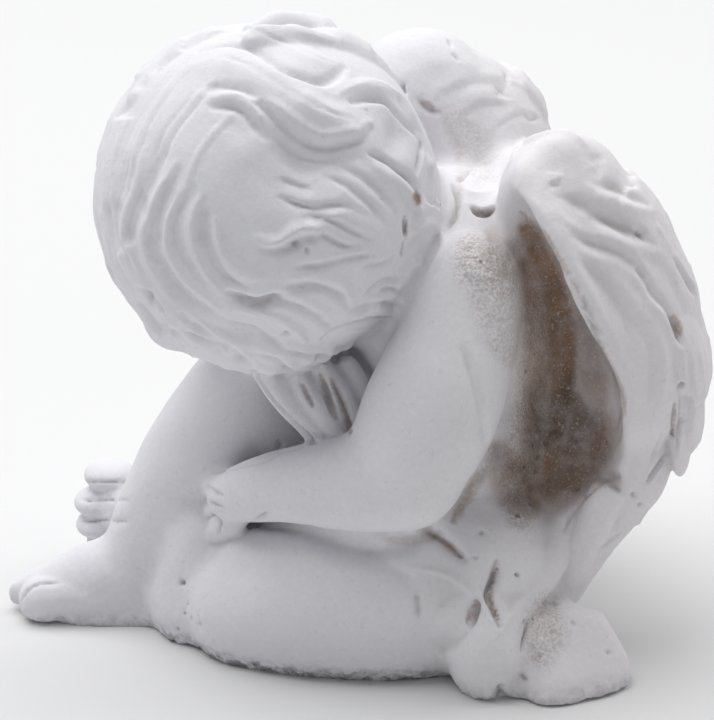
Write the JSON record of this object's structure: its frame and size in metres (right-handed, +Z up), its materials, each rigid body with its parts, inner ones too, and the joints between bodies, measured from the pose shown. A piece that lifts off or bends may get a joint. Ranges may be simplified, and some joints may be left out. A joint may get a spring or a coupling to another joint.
{
  "type": "cherub figurine",
  "caption": "Small cast figure of a seated, curly-haired cherub with folded wings, resting its head on a raised knee.",
  "frame": {"origin": "middle of the bounding box in plan, on the plane that the flat underside stands on", "axes": "+Z up; +X towards the back and the wings, the raised knee's foot to -X; -Y is the side the picture shows"},
  "size_m": [0.0898, 0.0628, 0.0814],
  "materials": {
    "plaster": "matte cast plaster, pale grey-white, pitted, with brown dirt in the hollow by the near wing"
  },
  "bodies": {
    "root": {"angel_figurine": "plaster"}
  },
  "joints": []
}
